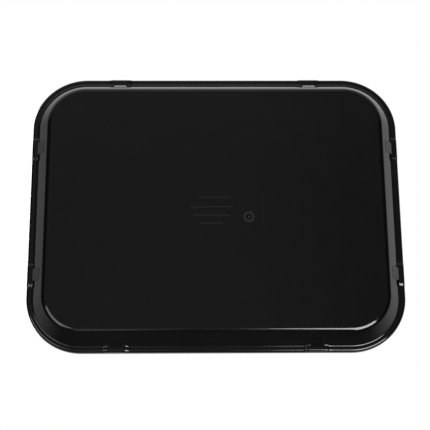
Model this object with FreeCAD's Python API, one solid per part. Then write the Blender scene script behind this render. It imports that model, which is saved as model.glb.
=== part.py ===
import FreeCAD, Part
import math
import os

# Moulded stacking serving tray, right way up, in millimetres.
# X runs along the long side, Y along the short side, Z up, and the tray rests on z = 0.
# t is the distance inwards from the tray's outer edge.

# whole tray
tray_length = 352.0
tray_width = 273.0
tray_height = 22.0
corner_radius = 52.0
shell = 2.3

# rim: a thick rounded edge whose flat foot, the lip, meets the wall in a fillet
lip_bottom = 15.1
lip_width = 5.6
lip_edge_radius = 2.5
lip_fillet = 2.0
rim_outer_radius = 1.8
rim_inner_radius = 2.4
rim_joint = 13.0

# wall
wall_lean = 36.9
base_edge_radius = 7.0
floor_joint = 22.0

# stacking lugs and the lip pads beside them
lug_from_middle_long = 92.0
lug_from_middle_short = 63.0
lug_length = 13.5
lug_reach = 1.6
lug_foot = 6.0
lug_foot_reach = 0.25
lug_end_radius = 0.6
lug_root = 1.5
pad_drop = 1.0
pad_length = 23.5
pad_ramp = 3.5
pad_overlap = 3.5
pad_root = 0.9

# sunk mould marks on the underside of the floor
mark_depth = 0.25
ring_place = (31.0, 11.0)
ring_outer_radius = 5.2
ring_inner_radius = 3.4
ring_dot_radius = 1.1
bar_height = 1.6
# (middle x, middle y, length) of each plain bar
bars = [(-0.5, -8.5, 30.0), (-4.0, 1.0, 40.0), (-4.0, 9.0, 34.0), (-4.0, 17.0, 22.0)]
divider_place = (44.0, 3.0)
divider_size = (0.8, 32.0)

wall_slope = math.tan(math.radians(wall_lean))
wall_slant = shell / math.cos(math.radians(wall_lean))
quarter = 90.0
half_length = tray_length / 2
half_width = tray_width / 2
tolerance = 0.01


def wall_outside(z):
    """t of the wall's outer face at height z."""
    return lip_width + (lip_bottom - z) * wall_slope


def wall_inside(z):
    """t of the wall's inner face at height z."""
    return wall_outside(z) + wall_slant


def at(t, z, x=0.0):
    return FreeCAD.Vector(x, t, z)


def rounded_face(corners):
    """Flat face in the plane x = 0 with corners (t, z, radius), each rounded by a tangent arc."""
    starts = []
    ends = []
    arcs = []
    count = len(corners)
    for i, (t, z, radius) in enumerate(corners):
        corner = at(t, z)
        before = at(*corners[i - 1][:2]) - corner
        after = at(*corners[(i + 1) % count][:2]) - corner
        before.normalize()
        after.normalize()
        half = before.getAngle(after) / 2
        reach = radius / math.tan(half)
        start = corner + before * reach
        end = corner + after * reach
        starts.append(start)
        ends.append(end)
        if radius > 0:
            inward = before + after
            inward.normalize()
            middle = corner + inward * (radius / math.sin(half) - radius)
            arcs.append(Part.Arc(start, middle, end).toShape())
        else:
            arcs.append(None)
    edges = []
    for i in range(count):
        if arcs[i]:
            edges.append(arcs[i])
        edges.append(Part.LineSegment(ends[i], starts[(i + 1) % count]).toShape())
    return Part.Face(Part.Wire(edges))


def side_sizes(side):
    """(straight run, distance from the tray's middle to its outer edge) of side 0 to 3."""
    if side % 2 == 0:
        return tray_length - 2 * corner_radius, half_width
    return tray_width - 2 * corner_radius, half_length


def onto_side(shape, side):
    """Turns a shape built for side 0, at -Y, onto side 1 at +X, 2 at +Y or 3 at -X."""
    turned = shape.copy()
    turned.rotate(FreeCAD.Vector(0, 0, 0), FreeCAD.Vector(0, 0, 1), quarter * side)
    return turned


def joined(shapes):
    return shapes[0].multiFuse(shapes[1:]).removeSplitter()


def ring_of(section):
    """Sweeps a section round the whole tray: a straight run and a turned corner for each side."""
    stretches = []
    for side in range(4):
        run, edge = side_sizes(side)
        start = section.copy()
        start.translate(FreeCAD.Vector(-run / 2, -edge, 0))
        stretches.append(onto_side(start.extrude(FreeCAD.Vector(run, 0, 0)), side))
        corner = section.copy()
        corner.translate(FreeCAD.Vector(run / 2, -edge, 0))
        pivot = FreeCAD.Vector(run / 2, corner_radius - edge, 0)
        turned = corner.revolve(pivot, FreeCAD.Vector(0, 0, 1), quarter)
        stretches.append(onto_side(turned, side))
    return joined(stretches)


def rounded_plate(inset, low, high):
    """Flat plate whose outline lies t = inset inside the tray's outer edge."""
    x = half_length - inset
    y = half_width - inset
    plate = Part.makeBox(2 * x, 2 * y, high - low, FreeCAD.Vector(-x, -y, low))
    upright = [e for e in plate.Edges if e.Length < high - low + tolerance]
    return plate.makeFillet(corner_radius - inset, upright)


def lip_pad_section(drop):
    """The foot of the rim lowered by drop, as a closed wire with the same edges at any drop."""
    foot = lip_bottom - drop
    low = foot - pad_root
    top = lip_bottom + pad_overlap
    face = rounded_face(
        [
            (0, top, 0),
            (0, foot, lip_edge_radius),
            (wall_outside(foot), foot, lip_fillet),
            (wall_outside(low), low, 0),
            (wall_outside(low) + pad_root, low, 0),
            (wall_outside(top) + pad_root, top, 0),
        ]
    )
    return face.OuterWire


def lip_pad():
    """A stretch of lip that stands lower, with a ramp at each end."""
    flat = pad_length / 2 - pad_ramp
    wires = []
    for x, drop in [(-flat - pad_ramp, 0), (-flat, pad_drop), (flat, pad_drop), (flat + pad_ramp, 0)]:
        wire = lip_pad_section(drop)
        wire.translate(FreeCAD.Vector(x, 0, 0))
        wires.append(wire)
    return Part.makeLoft(wires, True, True)


def lug_blank():
    """A lug before it is trimmed to the wall and the lip."""
    face_top = lip_width - lug_reach
    face_foot = wall_outside(lug_foot) - lug_foot_reach
    buried_top = lip_bottom + lug_root
    profile = rounded_face(
        [
            (face_top, buried_top, 0),
            (face_top, lip_bottom, 0),
            (face_foot, lug_foot, 0),
            (wall_outside(lug_foot) + lug_root, lug_foot, 0),
            (wall_outside(buried_top) + lug_root, buried_top, 0),
        ]
    )
    profile.translate(FreeCAD.Vector(-lug_length / 2, 0, 0))
    blank = profile.extrude(FreeCAD.Vector(lug_length, 0, 0))
    ends = [e for e in blank.Edges if is_lug_face_end(e, face_top)]
    return blank.makeFillet(lug_end_radius, ends)


def is_lug_face_end(edge, face_top):
    """True for the edges where a lug's sloping face meets its two ends."""
    box = edge.BoundBox
    sloping = box.YLength > tolerance and box.ZLength > tolerance
    return sloping and box.XLength < tolerance and box.YMin < face_top + tolerance


def stations(side):
    """Where the stacking stations of a side lie along it."""
    offset = lug_from_middle_long if side % 2 == 0 else lug_from_middle_short
    return [-offset, offset]


def placed(shape, side, along):
    """Puts a shape built at x = 0, t inwards, at its place along a side."""
    moved = shape.copy()
    moved.translate(FreeCAD.Vector(along, -side_sizes(side)[1], 0))
    return onto_side(moved, side)


def floor_panel():
    plate = rounded_plate(floor_joint, 0, shell)
    ring_centre = FreeCAD.Vector(*ring_place, 0)
    ring = Part.makeCylinder(ring_outer_radius, mark_depth, ring_centre)
    ring = ring.cut(Part.makeCylinder(ring_inner_radius, mark_depth, ring_centre))
    dot = Part.makeCylinder(ring_dot_radius, mark_depth, ring_centre)
    marks = [ring, dot]
    for x, y, length in bars:
        marks.append(sunk_bar(x, y, length, bar_height))
    marks.append(sunk_bar(*divider_place, *divider_size))
    for mark in marks:
        plate = plate.cut(mark)
    return plate


def sunk_bar(x, y, length, height):
    corner = FreeCAD.Vector(x - length / 2, y - height / 2, 0)
    return Part.makeBox(length, height, mark_depth, corner)


def side_wall():
    return ring_of(
        rounded_face(
            [
                (wall_outside(rim_joint), rim_joint, 0),
                (wall_outside(0), 0, base_edge_radius),
                (floor_joint, 0, 0),
                (floor_joint, shell, 0),
                (wall_inside(shell), shell, base_edge_radius - shell),
                (wall_inside(rim_joint), rim_joint, 0),
            ]
        )
    )


def rim():
    ring = ring_of(
        rounded_face(
            [
                (wall_outside(rim_joint), rim_joint, 0),
                (lip_width, lip_bottom, lip_fillet),
                (0, lip_bottom, lip_edge_radius),
                (0, tray_height, rim_outer_radius),
                (wall_inside(tray_height), tray_height, rim_inner_radius),
                (wall_inside(rim_joint), rim_joint, 0),
            ]
        )
    )
    pad = lip_pad()
    pads = [placed(pad, side, along) for side in range(4) for along in stations(side)]
    return joined([ring] + pads)


side_names = ["front", "right", "back", "left"]
# the two ends of each side, in the order of its stations
end_names = [["left", "right"], ["front", "back"], ["right", "left"], ["back", "front"]]

os.makedirs("parts", exist_ok=True)

nodes = {"floor_panel": floor_panel(), "side_wall": side_wall(), "rim": rim()}
shell_zones = joined([nodes["side_wall"], nodes["rim"]])
blank_lug = lug_blank()
for side in range(4):
    for along, end in zip(stations(side), end_names[side]):
        lug = placed(blank_lug, side, along).cut(shell_zones)
        nodes[f"stacking_lug_{side_names[side]}_{end}"] = lug

for name, shape in nodes.items():
    shape.exportStep(f"parts/{name}.step")
    print(name, shape.isValid(), len(shape.Solids), round(shape.Volume, 1))
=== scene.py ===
import math

import bpy
import bmesh
from mathutils import Matrix, Vector


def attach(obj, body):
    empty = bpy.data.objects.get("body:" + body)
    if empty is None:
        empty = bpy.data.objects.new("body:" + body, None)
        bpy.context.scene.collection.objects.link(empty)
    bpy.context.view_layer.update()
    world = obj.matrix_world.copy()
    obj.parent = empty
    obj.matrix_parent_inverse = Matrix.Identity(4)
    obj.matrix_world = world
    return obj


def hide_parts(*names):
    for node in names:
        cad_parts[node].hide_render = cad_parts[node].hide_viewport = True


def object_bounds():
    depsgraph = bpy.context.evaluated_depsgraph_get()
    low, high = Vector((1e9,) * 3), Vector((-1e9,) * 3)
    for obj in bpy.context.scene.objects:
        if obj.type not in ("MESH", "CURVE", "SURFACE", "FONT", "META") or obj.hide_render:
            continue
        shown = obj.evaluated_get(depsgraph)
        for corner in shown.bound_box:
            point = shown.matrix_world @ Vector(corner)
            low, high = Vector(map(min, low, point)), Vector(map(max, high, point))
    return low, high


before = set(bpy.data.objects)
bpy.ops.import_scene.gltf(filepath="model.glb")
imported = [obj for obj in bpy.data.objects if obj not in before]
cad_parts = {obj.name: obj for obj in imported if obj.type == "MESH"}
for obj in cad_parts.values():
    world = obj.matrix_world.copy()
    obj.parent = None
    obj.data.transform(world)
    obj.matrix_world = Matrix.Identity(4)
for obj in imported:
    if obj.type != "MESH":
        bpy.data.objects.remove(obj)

cadLow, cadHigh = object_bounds()
body = "root"
mm = 0.001
print("frame loaded, tray", round(cadHigh.x - cadLow.x, 4), "by", round(cadHigh.y - cadLow.y, 4))

# the section of the tray in mm, t is the distance in from the outer edge, z is up
section = {
    "cornerRadius": 52.0,  # of the outer edge, seen from above
    "shell": 2.3,
    "lipBottom": 15.1,
    "lipWidth": 5.6,
    "lipEdge": 2.5,
    "lipFillet": 2.0,
    "rimJoint": 13.0,  # z where the wall ends and the rim begins
    "rimOuter": 1.8,
    "rimInner": 2.4,
    "wallLean": 36.9,  # degrees from upright
    "baseEdge": 7.0,
    "floorJoint": 22.0,  # t where the wall ends and the floor begins
}
halfLength = cadHigh.x / mm
halfWidth = cadHigh.y / mm
trayHeight = cadHigh.z / mm
insideEdge = section["baseEdge"] - section["shell"]
wallSlope = math.tan(math.radians(section["wallLean"]))
wallSlant = section["shell"] / math.cos(math.radians(section["wallLean"]))


def wallOutside(z):
    return section["lipWidth"] + (section["lipBottom"] - z) * wallSlope


def wallInside(z):
    return wallOutside(z) + wallSlant


# mm from the middle of a side to each of its two lugs and lip pads
lugPlaces = {
    "longSide": 92.0,
    "shortSide": 63.0,
}

sweepSteps = {
    "arcDegrees": 7.5,  # turn between two points of a rounded corner of the section
    "cornerDegrees": 3.0,  # turn between two stations of a tray corner
    "plainStep": 4.0,  # mm between stations of a straight side
    "fineStep": 0.75,  # mm between them beside a lug
    "fineReach": 14.0,  # mm each side of a lug's middle that are stepped finely
    "runEnd": 0.01,  # mm from the end of a side that count as its end
    "leastStep": 0.3,  # mm, a shorter last step is joined to the one before it
    "noLug": 1000.0,  # mm, stands for the distance to a lug in a corner
}
cornerSteps = round(90 / sweepSteps["cornerDegrees"])


def roundedOutline(corners):
    # corners are (t, z, radius), and each comes back as the points of a tangent arc
    points = []
    count = len(corners)
    for i, (t, z, radius) in enumerate(corners):
        corner = Vector((t, z))
        if radius == 0:
            points.append(corner)
            continue
        before = (Vector(corners[i - 1][:2]) - corner).normalized()
        after = (Vector(corners[(i + 1) % count][:2]) - corner).normalized()
        half = before.angle(after) / 2
        centre = corner + (before + after).normalized() * (radius / math.sin(half))
        start = corner + before * (radius / math.tan(half)) - centre
        turn = math.pi - 2 * half
        side = 1 if start.x * (corner - centre).y - start.y * (corner - centre).x > 0 else -1
        steps = max(2, math.ceil(math.degrees(turn) / sweepSteps["arcDegrees"]))
        for k in range(steps + 1):
            angle = side * turn * k / steps
            spun = Vector((start.x * math.cos(angle) - start.y * math.sin(angle),
                           start.x * math.sin(angle) + start.y * math.cos(angle)))
            points.append(centre + spun)
    return points


def lugOffset(side):
    return lugPlaces["longSide"] if side % 2 == 0 else lugPlaces["shortSide"]


def sideSizes(side):
    # half the straight run, and the distance from the middle to the outer edge
    radius = section["cornerRadius"]
    if side % 2 == 0:
        return halfLength - radius, halfWidth
    return halfWidth - radius, halfLength


def turned(x, y, side):
    # side 0 is at -Y, 1 at +X, 2 at +Y, 3 at -X
    angle = math.radians(90 * side)
    return Vector((x * math.cos(angle) - y * math.sin(angle), x * math.sin(angle) + y * math.cos(angle)))


def cornerSpot(side, k, radius):
    # (place, direction outwards) at step k round the corner where a side ends
    half, edge = sideSizes(side)
    angle = math.radians(90 * k / cornerSteps)
    out = Vector((math.sin(angle), -math.cos(angle)))
    spot = Vector((half, section["cornerRadius"] - edge)) + out * radius
    return turned(spot.x, spot.y, side), turned(out.x, out.y, side)


def runPositions(side):
    # places along a straight run, closer together beside the lugs
    half = sideSizes(side)[0]
    offset = lugOffset(side)
    x = -half
    places = [x]
    while x < half - sweepSteps["runEnd"]:
        near = min(abs(x - offset), abs(x + offset)) < sweepSteps["fineReach"]
        x += sweepSteps["fineStep"] if near else sweepSteps["plainStep"]
        places.append(min(x, half))
    if places[-1] - places[-2] < sweepSteps["leastStep"]:
        places.pop(-2)
    return places


def ringStations():
    # (point on the outer edge, direction inwards, distance from the nearest lug's middle)
    stations = []
    for side in range(4):
        edge = sideSizes(side)[1]
        for x in runPositions(side):
            away = min(abs(x - lugOffset(side)), abs(x + lugOffset(side)))
            stations.append((turned(x, -edge, side), turned(0, 1, side), away))
        for k in range(1, cornerSteps):
            spot, out = cornerSpot(side, k, section["cornerRadius"])
            stations.append((spot, -out, sweepSteps["noLug"]))
    return stations


def newPiece(name, mesh):
    piece = bpy.data.objects.new(name, mesh)
    bpy.context.scene.collection.objects.link(piece)
    return piece


def pieceFrom(made, name):
    bmesh.ops.recalc_face_normals(made, faces=made.faces)
    mesh = bpy.data.meshes.new(name)
    made.to_mesh(mesh)
    made.free()
    return newPiece(name, mesh)


def sweepRing(name, outline, shapeAt=None):
    # carries a closed outline round the tray, shapeAt may move a point of it at a station
    made = bmesh.new()
    rings = []
    for edge, inward, away in ringStations():
        ring = []
        for t, z in outline:
            if shapeAt:
                t, z = shapeAt(t, z, away)
            spot = edge + inward * t
            ring.append(made.verts.new((spot.x * mm, spot.y * mm, z * mm)))
        rings.append(ring)
    count = len(outline)
    for i, ring in enumerate(rings):
        after = rings[(i + 1) % len(rings)]
        for k in range(count):
            n = (k + 1) % count
            made.faces.new((ring[k], after[k], after[n], ring[n]))
    return pieceFrom(made, name)


def smoothed(piece, sharpDegrees=40):
    for face in piece.data.polygons:
        face.use_smooth = True
    piece.data.set_sharp_from_angle(angle=math.radians(sharpDegrees))
    return piece


def insideFaces(piece, number=1, upward=0.2):
    # faces that look up take the inside finish
    for face in piece.data.polygons:
        if face.normal.z > upward:
            face.material_index = number
    return piece


def finished(piece, materials, *nodes):
    for material in materials:
        piece.data.materials.append(material)
    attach(piece, body)
    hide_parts(*nodes)
    return piece


def nodeMaterial(name):
    material = bpy.data.materials.new(name)
    material.use_nodes = True
    tree = material.node_tree
    return material, tree, tree.nodes["Principled BSDF"]


plasticIor = 1.5


def plasticMaterial(name):
    material, tree, shader = nodeMaterial(name)
    shader.inputs["IOR"].default_value = plasticIor
    return material, tree, shader


def addNode(tree, kind, **values):
    node = tree.nodes.new(kind)
    for key, value in values.items():
        if key in node.inputs:
            node.inputs[key].default_value = value
        else:
            setattr(node, key, value)
    return node


def mapRange(tree, source, low, high, toLow, toHigh):
    node = addNode(tree, "ShaderNodeMapRange")
    for socket, value in zip(("From Min", "From Max", "To Min", "To Max"), (low, high, toLow, toHigh)):
        node.inputs[socket].default_value = value
    tree.links.new(source, node.inputs["Value"])
    return node.outputs["Result"]


def combine(tree, operation, first, second):
    node = addNode(tree, "ShaderNodeMath", operation=operation)
    tree.links.new(first, node.inputs[0])
    tree.links.new(second, node.inputs[1])
    return node.outputs["Value"]


def cloudOf(tree, scale, detail, stretch=(1, 1, 1), turn=0.0):
    # noise in the tray's own coordinates, scale is per metre
    place = addNode(tree, "ShaderNodeTexCoord")
    mapping = addNode(tree, "ShaderNodeMapping", Scale=stretch, Rotation=(0, 0, turn))
    tree.links.new(place.outputs["Object"], mapping.inputs["Vector"])
    cloud = addNode(tree, "ShaderNodeTexNoise", Scale=scale, Detail=detail)
    tree.links.new(mapping.outputs["Vector"], cloud.inputs["Vector"])
    return cloud.outputs["Fac"]


def bumpOf(tree, source, distance, under=None):
    node = addNode(tree, "ShaderNodeBump", Distance=distance)
    tree.links.new(source, node.inputs["Height"])
    if under:
        tree.links.new(under, node.inputs["Normal"])
    return node.outputs["Normal"]


def tint(tree, source, low, high):
    # the mix node's sockets 6 and 7 are its two colours, and output 2 is the mixed one
    node = addNode(tree, "ShaderNodeMix", data_type="RGBA")
    node.inputs[6].default_value = low
    node.inputs[7].default_value = high
    tree.links.new(source, node.inputs[0])
    return node.outputs[2]


cloudSpread = (0.3, 0.7)  # most of a cloud's values lie between these

# polished mould side: the underside, the outside of the wall and the rim
# a cloud is (scale, detail), or (scale, detail, stretch, turn) where it is drawn out into streaks
underGloss = {
    "dark": (0.0016, 0.0016, 0.0017, 1),
    "light": (0.0030, 0.0030, 0.0033, 1),
    "patches": (38.0, 4.0),
    "rough": (0.065, 0.125),
    "rubs": (30.0, 6.0, (1, 14, 1), 0.5),
    "rubsFrom": (0.60, 0.72),
    "scuff": 0.05,  # added to the roughness along faint rub marks
    "waves": (45.0, 1.0),
    "waveHeight": 0.00009,  # slow unevenness of the moulding, in metres
    "peel": (900.0, 2.0),
    "peelHeight": 0.0000012,
}


def makeUnderGloss():
    values = underGloss
    material, tree, shader = plasticMaterial("glossyBlackUnderside")
    patches = cloudOf(tree, *values["patches"])
    plain = mapRange(tree, patches, *cloudSpread, *values["rough"])
    rubs = mapRange(tree, cloudOf(tree, *values["rubs"]), *values["rubsFrom"], 0, values["scuff"])
    tree.links.new(combine(tree, "ADD", plain, rubs), shader.inputs["Roughness"])
    tree.links.new(tint(tree, patches, values["dark"], values["light"]), shader.inputs["Base Color"])
    slow = bumpOf(tree, cloudOf(tree, *values["waves"]), values["waveHeight"])
    peel = bumpOf(tree, cloudOf(tree, *values["peel"]), values["peelHeight"], slow)
    tree.links.new(peel, shader.inputs["Normal"])
    return material


# smooth satin of the inside wall and the top of the rim
insideSatin = {
    "dark": (0.0060, 0.0060, 0.0064, 1),
    "light": (0.0095, 0.0095, 0.0100, 1),
    "patches": (55.0, 5.0),
    "rough": (0.18, 0.28),
    "rubs": (60.0, 6.0, (1, 9, 1), 1.1),
    "rubsFrom": (0.58, 0.74),
    "wear": 0.08,  # rub marks left by stacking and wiping
    "rimRubs": (240.0, 5.0),
    "rimRubsFrom": (0.45, 0.65),
    "rimWear": 0.22,  # more of them on the top of the rim, where stacked trays slide
    "rimFrom": (0.0185, 0.0215),  # height where they begin, and where they are full, in metres
    "peel": (1500.0, 2.0),
    "peelHeight": 0.000004,
}


def makeInsideSatin():
    values = insideSatin
    material, tree, shader = plasticMaterial("satinBlackInside")
    patches = cloudOf(tree, *values["patches"])
    plain = mapRange(tree, patches, *cloudSpread, *values["rough"])
    wear = mapRange(tree, cloudOf(tree, *values["rubs"]), *values["rubsFrom"], 0, values["wear"])
    place = addNode(tree, "ShaderNodeTexCoord")
    parts = addNode(tree, "ShaderNodeSeparateXYZ")
    tree.links.new(place.outputs["Object"], parts.inputs["Vector"])
    onRim = mapRange(tree, parts.outputs["Z"], *values["rimFrom"], 0, values["rimWear"])
    rimRubs = mapRange(tree, cloudOf(tree, *values["rimRubs"]), *values["rimRubsFrom"], 0, 1)
    rubbed = combine(tree, "MULTIPLY", onRim, rimRubs)
    worn = combine(tree, "ADD", combine(tree, "ADD", plain, wear), rubbed)
    tree.links.new(worn, shader.inputs["Roughness"])
    tree.links.new(tint(tree, patches, values["dark"], values["light"]), shader.inputs["Base Color"])
    peel = bumpOf(tree, cloudOf(tree, *values["peel"]), values["peelHeight"])
    tree.links.new(peel, shader.inputs["Normal"])
    return material


# fine pebbled grain of the inside floor, which keeps plates from sliding
floorGrain = {
    # dark in the gaps between pebbles and light on their tops: painted shade in the gaps
    "dark": (0.0065, 0.0065, 0.0070, 1),
    "light": (0.0125, 0.0125, 0.0132, 1),
    "pebbles": 640.0,  # pebbles per metre
    "softness": 0.6,  # how far neighbouring pebbles run together
    "domeFrom": (0.15, 0.75),  # from a pebble's top out to the gap, in pebbles
    "height": 0.00022,
    "rough": (0.42, 0.26),  # in the gaps, and on the pebbles
    "scratches": (26.0, 8.0, (1, 22, 1), 0.8),
    "scratchesFrom": (0.62, 0.70),
    "scratch": 0.16,
}


def makeFloorGrain():
    values = floorGrain
    material, tree, shader = plasticMaterial("pebbledBlackFloor")
    place = addNode(tree, "ShaderNodeTexCoord")
    cells = addNode(tree, "ShaderNodeTexVoronoi", feature="SMOOTH_F1")
    cells.inputs["Scale"].default_value = values["pebbles"]
    cells.inputs["Smoothness"].default_value = values["softness"]
    tree.links.new(place.outputs["Object"], cells.inputs["Vector"])
    domes = mapRange(tree, cells.outputs["Distance"], *values["domeFrom"], 1, 0)
    slow = bumpOf(tree, cloudOf(tree, *underGloss["waves"]), underGloss["waveHeight"])
    tree.links.new(bumpOf(tree, domes, values["height"], slow), shader.inputs["Normal"])
    plain = mapRange(tree, domes, 0, 1, *values["rough"])
    streaks = cloudOf(tree, *values["scratches"])
    scratches = mapRange(tree, streaks, *values["scratchesFrom"], 0, values["scratch"])
    tree.links.new(combine(tree, "ADD", plain, scratches), shader.inputs["Roughness"])
    # the colour follows the pebbles' height, darker in the gaps: painted shade
    tree.links.new(tint(tree, domes, values["dark"], values["light"]), shader.inputs["Base Color"])
    return material


# the bottoms of the sunk marks are left as sparked steel leaves them; the ring's colour is paler than the
# bars', a painted sheen standing in for the light its matt bottom scatters
markMatt = {
    "grain": (4000.0, 3.0),
    "grainHeight": 0.00003,
    "rough": (0.38, 0.50),
    "blue": 1.03,  # the blue of a shade, as a share of its red
    # painted sheen: the ring's colour is made paler than the same plastic elsewhere
    "ringShadesWithPaintedSheen": (0.010, 0.018),
    "barShades": (0.0016, 0.0036),
}


def makeMarkMatt(name, shades):
    values = markMatt
    material, tree, shader = plasticMaterial(name)
    grain = cloudOf(tree, *values["grain"])
    tree.links.new(mapRange(tree, grain, *cloudSpread, *values["rough"]), shader.inputs["Roughness"])
    low, high = [(shade, shade, shade * values["blue"], 1) for shade in shades]
    tree.links.new(tint(tree, grain, low, high), shader.inputs["Base Color"])
    tree.links.new(bumpOf(tree, grain, values["grainHeight"]), shader.inputs["Normal"])
    return material


print("making materials")
glossy = makeUnderGloss()
satin = makeInsideSatin()
grained = makeFloorGrain()
ringMattWithPaintedSheen = makeMarkMatt("mattBlackRingPaintedSheen", markMatt["ringShadesWithPaintedSheen"])
barMatt = makeMarkMatt("mattBlackBars", markMatt["barShades"])


def makeWall():
    outline = roundedOutline([
        (wallOutside(section["rimJoint"]), section["rimJoint"], 0),
        (wallOutside(0), 0, section["baseEdge"]),
        (section["floorJoint"], 0, 0),
        (section["floorJoint"], section["shell"], 0),
        (wallInside(section["shell"]), section["shell"], insideEdge),
        (wallInside(section["rimJoint"]), section["rimJoint"], 0),
    ])
    wall = insideFaces(smoothed(sweepRing("sideWall", outline)))
    return finished(wall, [glossy, satin], "side_wall")


# stretches of the lip that stand lower, mm
lipPads = {
    "drop": 1.0,
    "length": 23.5,
    "ramp": 3.5,  # at each end, within the length
    "fade": 1.0,  # height above the lip's rounded edge in which the drop dies away
    "filletTop": 1.0,  # height above the lip that the fillet's points stay under
    "skin": 0.2,  # depth behind the wall's outer face that still counts as the face
}


def padShape(away):
    # 1 on a lip pad, 0 away from it, with a ramp between that is rounded a little at its ends
    start = lipPads["length"] / 2
    share = min(1.0, max(0.0, (start - away) / lipPads["ramp"]))
    return (share + share * share * (3 - 2 * share)) / 2


def dropLip(t, z, away):
    # lowers the foot of the rim on a pad, less and less up the outer side, and keeps the wall in line
    foot = section["lipBottom"]
    drop = lipPads["drop"] * padShape(away)
    if t <= section["lipWidth"] / 2:
        above = (z - foot - section["lipEdge"]) / lipPads["fade"]
        return t, z - drop * min(1.0, max(0.0, 1 - above))
    onFace = t < wallOutside(z) + lipPads["skin"]
    if onFace and section["rimJoint"] < z < foot + lipPads["filletTop"]:
        return t + drop * wallSlope, z - drop
    return t, z


def makeRim():
    outline = roundedOutline([
        (wallOutside(section["rimJoint"]), section["rimJoint"], 0),
        (section["lipWidth"], section["lipBottom"], section["lipFillet"]),
        (0, section["lipBottom"], section["lipEdge"]),
        (0, trayHeight, section["rimOuter"]),
        (wallInside(trayHeight), trayHeight, section["rimInner"]),
        (wallInside(section["rimJoint"]), section["rimJoint"], 0),
    ])
    rim = insideFaces(smoothed(sweepRing("roundedRim", outline, dropLip)))
    return finished(rim, [glossy, satin], "rim")


print("sweeping the wall and the rim")
makeWall()
makeRim()

# sunk marks on the underside, mm, plain shapes with sloping sides
marks = {
    "depth": 0.25,
    "slope": 0.15,  # how much narrower a mark is at its bottom, each side
    "ringPlace": (31.0, 11.0),
    "ringRadii": (5.2, 3.4),
    "ringSteps": 72,
    "dotRadius": 1.1,
    "dotSteps": 36,
    "barHeight": 1.6,
    # (x, y, length) of each bar
    "bars": [(-0.5, -8.5, 30.0), (-4.0, 1.0, 40.0), (-4.0, 9.0, 34.0), (-4.0, 17.0, 22.0)],
    "dividerPlace": (44.0, 3.0),
    "dividerSize": (0.8, 32.0),
    "below": 0.1,  # how far under the tray the cutters start
    "shortest": 0.001,  # edges shorter than this are closed up after the cut
    "mattFrom": 0.9,  # share of the depth above which a face is matt
    "mattTo": 0.5,  # share of the floor's thickness below which it is
}


def floorOutline(inset):
    radius = section["cornerRadius"] - inset
    return [cornerSpot(side, k, radius)[0] for side in range(4) for k in range(cornerSteps + 1)]


def closeEnds(made, low, high):
    # a closed block between two outlines with the same number of points
    made.faces.new(list(reversed(low)))
    made.faces.new(high)
    count = len(low)
    for k in range(count):
        n = (k + 1) % count
        made.faces.new((low[k], low[n], high[n], high[k]))


def layerAt(made, outline, z):
    return [made.verts.new((p.x * mm, p.y * mm, z * mm)) for p in outline]


def slab(name, outline, low, high):
    made = bmesh.new()
    closeEnds(made, layerAt(made, outline, low), layerAt(made, outline, high))
    return pieceFrom(made, name)


def discPoints(place, radius, steps):
    points = []
    for k in range(steps):
        angle = math.tau * k / steps
        points.append(Vector((place[0] + radius * math.cos(angle), place[1] + radius * math.sin(angle))))
    return points


def barPoints(x, y, length, height):
    ends = ((-1, -1), (1, -1), (1, 1), (-1, 1))
    return [Vector((x + i * length / 2, y + j * height / 2)) for i, j in ends]


def cutterPart(made, outlineAt, grow=1):
    # a tapered plug, outlineAt(inset) gives its outline, grow is -1 for the hole inside a ring
    spread = marks["slope"] * marks["below"] / marks["depth"]
    low = layerAt(made, outlineAt(-grow * spread), -marks["below"])
    high = layerAt(made, outlineAt(grow * marks["slope"]), marks["depth"])
    return low, high


def closeRing(made, rings):
    # faces between neighbouring rings, and from the last back to the first
    for i, ring in enumerate(rings):
        after = rings[(i + 1) % len(rings)]
        count = len(ring)
        for k in range(count):
            n = (k + 1) % count
            made.faces.new((ring[k], ring[n], after[n], after[k]))


def ringCutter(made):
    place = marks["ringPlace"]
    outer, inner = marks["ringRadii"]
    steps = marks["ringSteps"]
    outLow, outHigh = cutterPart(made, lambda inset: discPoints(place, outer - inset, steps))
    inLow, inHigh = cutterPart(made, lambda inset: discPoints(place, inner - inset, steps), -1)
    closeRing(made, [outLow, outHigh, inHigh, inLow])


def dotCutter(made):
    place = marks["ringPlace"]
    radius = marks["dotRadius"]
    closeEnds(made, *cutterPart(made, lambda inset: discPoints(place, radius - inset, marks["dotSteps"])))


def barCutter(made, x, y, length, height):
    def outlineAt(inset):
        return barPoints(x, y, length - 2 * inset, height - 2 * inset)

    closeEnds(made, *cutterPart(made, outlineAt))


def markCutter():
    made = bmesh.new()
    ringCutter(made)
    dotCutter(made)
    for x, y, length in marks["bars"]:
        barCutter(made, x, y, length, marks["barHeight"])
    barCutter(made, *marks["dividerPlace"], *marks["dividerSize"])
    return pieceFrom(made, "markCutter")


def cutMarks(piece):
    cutter = markCutter()
    cut = piece.modifiers.new("marks", "BOOLEAN")
    cut.operation = "DIFFERENCE"
    cut.solver = "EXACT"
    cut.object = cutter
    bpy.context.view_layer.update()
    shaped = bpy.data.meshes.new_from_object(piece.evaluated_get(bpy.context.evaluated_depsgraph_get()))
    piece.modifiers.clear()
    bpy.data.objects.remove(cutter)
    made = bmesh.new()
    made.from_mesh(shaped)
    bmesh.ops.dissolve_degenerate(made, dist=marks["shortest"] * mm, edges=made.edges)
    bmesh.ops.triangulate(made, faces=made.faces, ngon_method="EAR_CLIP")
    made.to_mesh(shaped)
    made.free()
    piece.data = shaped
    return piece


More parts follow.
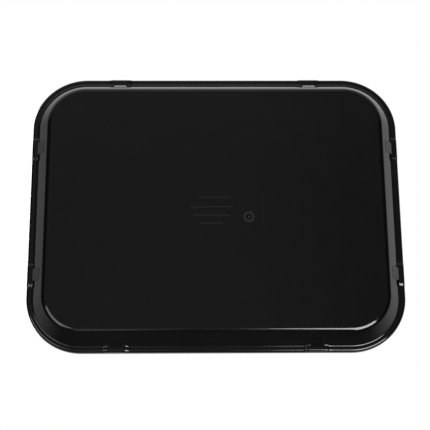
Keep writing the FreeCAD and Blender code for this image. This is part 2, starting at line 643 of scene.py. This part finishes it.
def mattFaces(piece, ringNumber=2, barNumber=3):
    # the bottoms of the marks, the ring and its dot taking the colour with the painted sheen, paler than
    # the bars
    # part of the floor's hidden edge is at the same height and takes the bars' finish too
    place = Vector(marks["ringPlace"]) * mm
    low = marks["depth"] * mm * marks["mattFrom"]
    high = section["shell"] * mm * marks["mattTo"]
    for face in piece.data.polygons:
        if low < face.center.z < high:
            inRing = (Vector(face.center[:2]) - place).length < marks["ringRadii"][0] * mm
            face.material_index = ringNumber if inRing else barNumber
    return piece


def makeFloor():
    plate = slab("floorPanel", floorOutline(section["floorJoint"]), 0, section["shell"])
    floor = mattFaces(insideFaces(cutMarks(plate)))
    return finished(floor, [glossy, grained, ringMattWithPaintedSheen, barMatt], "floor_panel")


print("making the floor")
makeFloor()

# the small lugs under the lip, mm
lugs = {
    "length": 13.5,
    "reach": 1.6,  # how far the top stands out of the wall
    "foot": 6.0,  # z of the lower end
    "footReach": 0.25,
    "endRound": 1.6,  # length of the rounding at each end
    "sunkEnd": 0.04,  # how far the ends dip behind the wall's face
    "sunkTop": 0.6,  # how far the top runs up into the lip
    "sunkBack": 0.9,  # how deep in the wall the back lies
    "rows": 18,
    "columns": 20,
}


def lugFace(z):
    # t of the lug's sloping face, which stands upright above the lip's underside
    faceT = section["lipWidth"] - lugs["reach"]
    if z > section["lipBottom"]:
        return faceT
    footT = wallOutside(lugs["foot"]) - lugs["footReach"]
    share = (z - lugs["foot"]) / (section["lipBottom"] - lugs["foot"])
    return footT + (faceT - footT) * share


def frontDepth(z, proud):
    # proud is 1 along most of the lug and falls to 0 at its two ends
    wallT = wallOutside(z)
    return wallT + (lugFace(z) - wallT) * proud + lugs["sunkEnd"] * (1 - proud)


def backDepth(z, proud):
    return wallOutside(z) + lugs["sunkBack"]


def lugGrid(made, side, along, depthAt):
    # rows of points from the foot up, one row for each place along the lug
    top = section["lipBottom"] + lugs["sunkTop"]
    grid = []
    for k in range(lugs["columns"] + 1):
        x = along + lugs["length"] * (k / lugs["columns"] - 0.5)
        end = min(1.0, (lugs["length"] / 2 - abs(x - along)) / lugs["endRound"])
        proud = math.sqrt(max(0.0, 1 - (1 - end) ** 2))
        row = []
        for r in range(lugs["rows"] + 1):
            z = lugs["foot"] + (top - lugs["foot"]) * r / lugs["rows"]
            spot = turned(x, depthAt(z, proud) - sideSizes(side)[1], side)
            row.append(made.verts.new((spot.x * mm, spot.y * mm, z * mm)))
        grid.append(row)
    return grid


def makeLug(name, side, along, node):
    rows = lugs["rows"]
    columns = lugs["columns"]
    made = bmesh.new()
    front = lugGrid(made, side, along, frontDepth)
    back = lugGrid(made, side, along, backDepth)
    for k in range(columns):
        for r in range(rows):
            made.faces.new((front[k][r], front[k + 1][r], front[k + 1][r + 1], front[k][r + 1]))
            made.faces.new((back[k][r], back[k][r + 1], back[k + 1][r + 1], back[k + 1][r]))
        made.faces.new((front[k][0], back[k][0], back[k + 1][0], front[k + 1][0]))
        made.faces.new((front[k][rows], front[k + 1][rows], back[k + 1][rows], back[k][rows]))
    for k in (0, columns):
        for r in range(rows):
            made.faces.new((front[k][r], front[k][r + 1], back[k][r + 1], back[k][r]))
    return finished(smoothed(pieceFrom(made, name)), [glossy], node)


sideNames = ["front", "right", "back", "left"]
endNames = [["left", "right"], ["front", "back"], ["right", "left"], ["back", "front"]]

print("making the lugs")
for side in range(4):
    for sign, end in zip((-1, 1), endNames[side]):
        words = f"{sideNames[side]}_{end}"
        makeLug(f"lug.{words}", side, sign * lugOffset(side), f"stacking_lug_{words}")

# the floor of the studio, in metres
studioFloor = {
    "half": 4.0,
    "height": -0.0004,
    "shade": (0.8, 0.8, 0.8, 1),
    "rough": 0.9,
    "glow": 0.3,
}


def makePaleFloor():
    # pale from above and clear from below, so that the underside of the tray can be seen
    material, tree, shader = nodeMaterial("paleFloor")
    shader.inputs["Base Color"].default_value = studioFloor["shade"]
    shader.inputs["Roughness"].default_value = studioFloor["rough"]
    shader.inputs["Emission Color"].default_value = (1, 1, 1, 1)
    shader.inputs["Emission Strength"].default_value = studioFloor["glow"]
    facing = addNode(tree, "ShaderNodeNewGeometry")
    clear = addNode(tree, "ShaderNodeBsdfTransparent")
    pick = addNode(tree, "ShaderNodeMixShader")
    tree.links.new(facing.outputs["Backfacing"], pick.inputs["Fac"])
    tree.links.new(shader.outputs["BSDF"], pick.inputs[1])
    tree.links.new(clear.outputs["BSDF"], pick.inputs[2])
    tree.links.new(pick.outputs["Shader"], tree.nodes["Material Output"].inputs["Surface"])
    return material


def layStudioFloor():
    mesh = bpy.data.meshes.new("studioFloor")
    made = bmesh.new()
    half = studioFloor["half"]
    corners = [(-half, -half), (half, -half), (half, half), (-half, half)]
    made.faces.new([made.verts.new((x, y, studioFloor["height"])) for x, y in corners])
    made.to_mesh(mesh)
    made.free()
    mesh.materials.append(makePaleFloor())
    ground = newPiece("studioFloor", mesh)
    ground.visible_shadow = False
    ground.visible_diffuse = False
    ground.visible_glossy = False
    ground.visible_transmission = False


# what the tray reflects: brightness by direction, where z = -1 is straight below the tray
surroundings = {
    # (z of the direction, brightness)
    "sides": [(-1.0, 0.235), (-0.93, 0.235), (-0.90, 0.30), (-0.80, 0.08), (-0.5, 0.03),
              (-0.2, 0.03), (-0.03, 0.08)],
    "front": [(-1.0, 0.235), (-0.90, 0.32), (-0.70, 0.60), (-0.40, 0.80), (-0.05, 1.0)],
    "back": [(-1.0, 0.235), (-0.92, 0.23), (-0.80, 0.13), (-0.4, 0.09), (-0.15, 0.12), (-0.03, 0.12)],
    "frontFrom": (-0.40, -0.80),  # y of the direction, the front list takes over between these
    "backFrom": (0.25, 0.60),
    # below the horizon: x of the direction from and to, and brightness at each
    "skyAcross": (0.04, 0.14, 1.02, 0.66),
    # above it: the same for x, for y towards the front, for y towards the back, and for z
    "across": (-0.76, 0.72, 0.64, 1.06),
    "farLight": (-0.40, -0.85, 1.0, 1.6),
    "nearShade": (0.2, 0.80, 1.0, 0.14),
    "lifted": (0.25, 0.5, 0.0, 0.9),  # the near shade gives way to the bright dome here
    "horizon": (0.0, 0.08),
}


def curveOf(tree, source, stops):
    node = addNode(tree, "ShaderNodeValToRGB")
    tree.links.new(source, node.inputs["Fac"])
    ramp = node.color_ramp
    while len(ramp.elements) < len(stops):
        ramp.elements.new(0.5)  # each one gets its own place below
    for element, (spot, glow) in zip(ramp.elements, stops):
        element.position = (spot + 1) / 2  # the ramp runs from 0 to 1 while z runs from -1 to 1
        element.color = (glow, glow, glow, 1)
    return node.outputs["Color"]


def blendOf(tree, share, first, second):
    # the mix node's sockets 2 and 3 are its two numbers
    node = addNode(tree, "ShaderNodeMix", data_type="FLOAT")
    tree.links.new(share, node.inputs[0])
    tree.links.new(first, node.inputs[2])
    tree.links.new(second, node.inputs[3])
    return node.outputs[0]


def lightBelow(tree, wayX, wayY, wayZ):
    values = surroundings
    level = mapRange(tree, wayZ, -1, 1, 0, 1)
    sideSky = curveOf(tree, level, values["sides"])
    frontSky = curveOf(tree, level, values["front"])
    backSky = curveOf(tree, level, values["back"])
    frontShare = mapRange(tree, wayY, *values["frontFrom"], 0, 1)
    backShare = mapRange(tree, wayY, *values["backFrom"], 0, 1)
    flatSky = blendOf(tree, backShare, blendOf(tree, frontShare, sideSky, frontSky), backSky)
    return combine(tree, "MULTIPLY", flatSky, mapRange(tree, wayX, *values["skyAcross"]))


def lightAbove(tree, wayX, wayY, wayZ):
    values = surroundings
    near = mapRange(tree, wayY, *values["nearShade"])
    shade = combine(tree, "MAXIMUM", near, mapRange(tree, wayZ, *values["lifted"]))
    ahead = combine(tree, "MULTIPLY", mapRange(tree, wayY, *values["farLight"]), shade)
    return combine(tree, "MULTIPLY", mapRange(tree, wayX, *values["across"]), ahead)


def makeSurroundings():
    # the camera sees plain white, and everything else sees the studio
    world = bpy.data.worlds.new("studioWhite")
    bpy.context.scene.world = world
    world.use_nodes = True
    tree = world.node_tree
    seen = tree.nodes["Background"]
    seen.inputs["Color"].default_value = (1, 1, 1, 1)
    seen.inputs["Strength"].default_value = 1.0
    place = addNode(tree, "ShaderNodeTexCoord")
    parts = addNode(tree, "ShaderNodeSeparateXYZ")
    tree.links.new(place.outputs["Generated"], parts.inputs["Vector"])
    way = [parts.outputs[key] for key in "XYZ"]
    aboveShare = mapRange(tree, way[2], *surroundings["horizon"], 0, 1)
    glow = blendOf(tree, aboveShare, lightBelow(tree, *way), lightAbove(tree, *way))
    felt = addNode(tree, "ShaderNodeBackground")
    tree.links.new(glow, felt.inputs["Strength"])
    rays = addNode(tree, "ShaderNodeLightPath")
    mixed = addNode(tree, "ShaderNodeMixShader")
    tree.links.new(rays.outputs["Is Camera Ray"], mixed.inputs["Fac"])
    tree.links.new(felt.outputs["Background"], mixed.inputs[1])
    tree.links.new(seen.outputs["Background"], mixed.inputs[2])
    tree.links.new(mixed.outputs["Shader"], tree.nodes["World Output"].inputs["Surface"])


# three lights under the tray and one over it, sizes in metres
# azimuth is in degrees from +X, tilt in degrees from straight down
softboxes = [
    {"name": "boxRight", "azimuth": 51.0, "tilt": 39.0, "width": 0.85, "height": 0.78, "power": 25.0},
    {"name": "boxMiddle", "azimuth": 106.0, "tilt": 38.0, "width": 0.35, "height": 0.8, "power": 0.45},
    {"name": "boxLeft", "azimuth": 156.0, "tilt": 38.0, "width": 0.9, "height": 0.8, "power": 6.5},
    {"name": "boxAbove", "azimuth": 195.0, "tilt": 138.0, "width": 1.4, "height": 0.7, "power": 30.0},
]
softboxDistance = 1.6


def placeSoftbox(values):
    light = bpy.data.lights.new(values["name"], "AREA")
    light.shape = "RECTANGLE"
    light.size = values["width"]
    light.size_y = values["height"]
    light.energy = values["power"]
    lamp = newPiece(values["name"], light)
    azimuth = math.radians(values["azimuth"])
    tilt = math.radians(values["tilt"])
    level = math.sin(tilt)
    out = Vector((math.cos(azimuth) * level, math.sin(azimuth) * level, -math.cos(tilt)))
    lamp.location = out * softboxDistance
    lamp.rotation_mode = "QUATERNION"
    lamp.rotation_quaternion = out.to_track_quat("Z", "Y")


cameraPlace = {
    "lens": 104.73,
    "elevation": 71.0,  # degrees below the tray's plane
    "turn": 3.154,  # degrees about the tray's upright
    "roll": 2.874,  # degrees about the line of sight
    "distance": 1.1843,
    "target": (-0.00052, 0.00415, 0.0151),
}


def placeCamera():
    values = cameraPlace
    rise = math.radians(values["elevation"])
    turn = math.radians(values["turn"])
    roll = math.radians(values["roll"])
    right = Vector((math.cos(turn), math.sin(turn), 0))
    back = Vector((-math.cos(rise) * math.sin(turn), math.cos(rise) * math.cos(turn), -math.sin(rise)))
    up = back.cross(right)
    rolledRight = right * math.cos(roll) + up * math.sin(roll)
    rolledUp = up * math.cos(roll) - right * math.sin(roll)
    camera = bpy.data.cameras.new("camera")
    camera.lens = values["lens"]
    holder = newPiece("camera", camera)
    spot = Vector(values["target"]) + back * values["distance"]
    facing = Matrix((rolledRight, rolledUp, back)).transposed()
    holder.matrix_world = Matrix.Translation(spot) @ facing.to_4x4()
    bpy.context.scene.camera = holder


print("setting the stage")
layStudioFloor()
makeSurroundings()
for box in softboxes:
    placeSoftbox(box)
placeCamera()
bpy.context.scene.view_settings.view_transform = "Standard"
